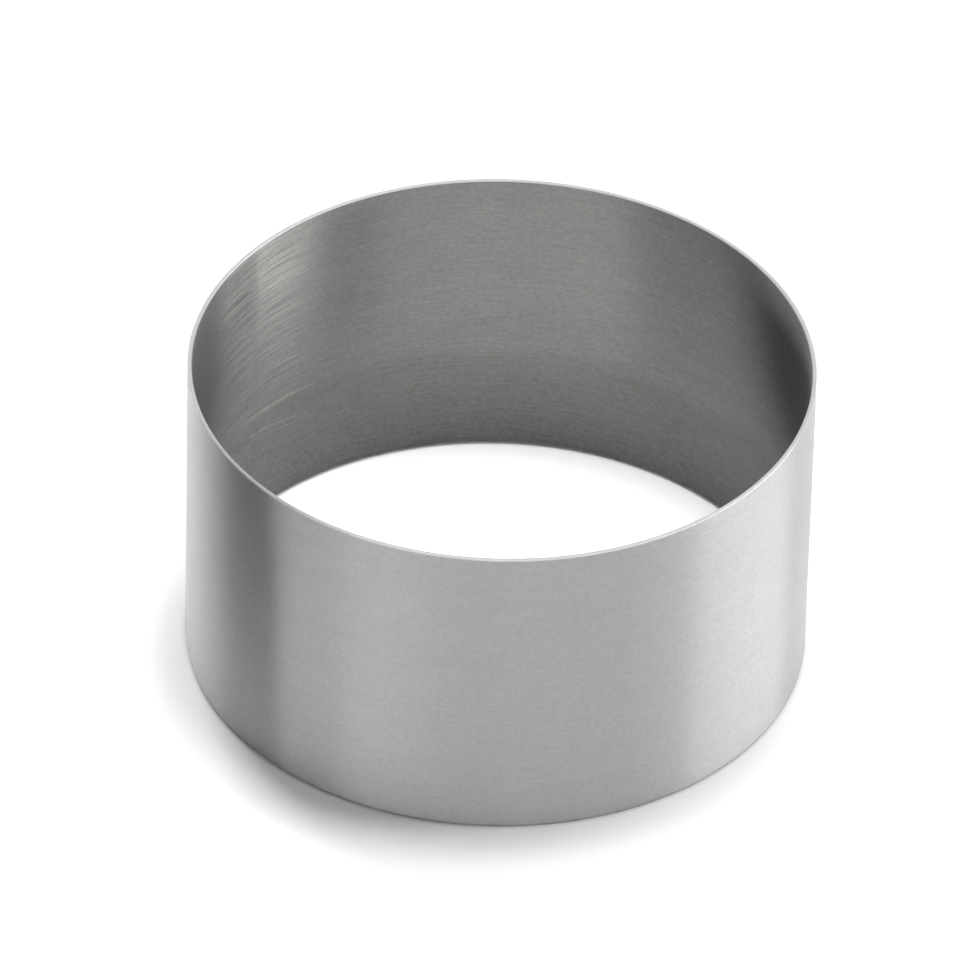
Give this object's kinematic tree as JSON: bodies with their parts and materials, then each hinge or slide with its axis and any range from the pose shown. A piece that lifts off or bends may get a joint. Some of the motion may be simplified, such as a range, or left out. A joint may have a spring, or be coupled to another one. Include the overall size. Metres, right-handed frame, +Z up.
{
  "type": "dessert ring",
  "caption": "Plain open cylinder of satin stainless steel strip, butt-welded, with deburred rims, used as a mould and cutter for round desserts.",
  "frame": {"origin": "centre of the lower rim, on the surface that the ring stands on", "axes": "+Z up the axis of the ring, +Y through the weld, +X to the right seen from the side opposite the weld"},
  "size_m": [0.075, 0.075, 0.04],
  "materials": {
    "satin_steel": "fine satin grain round the ring, deburred rims",
    "weld_metal": "ground flush outside, hand-blended inside"
  },
  "bodies": {
    "root": {"rolled_band": "satin_steel", "weld_seam": "weld_metal"}
  },
  "joints": []
}
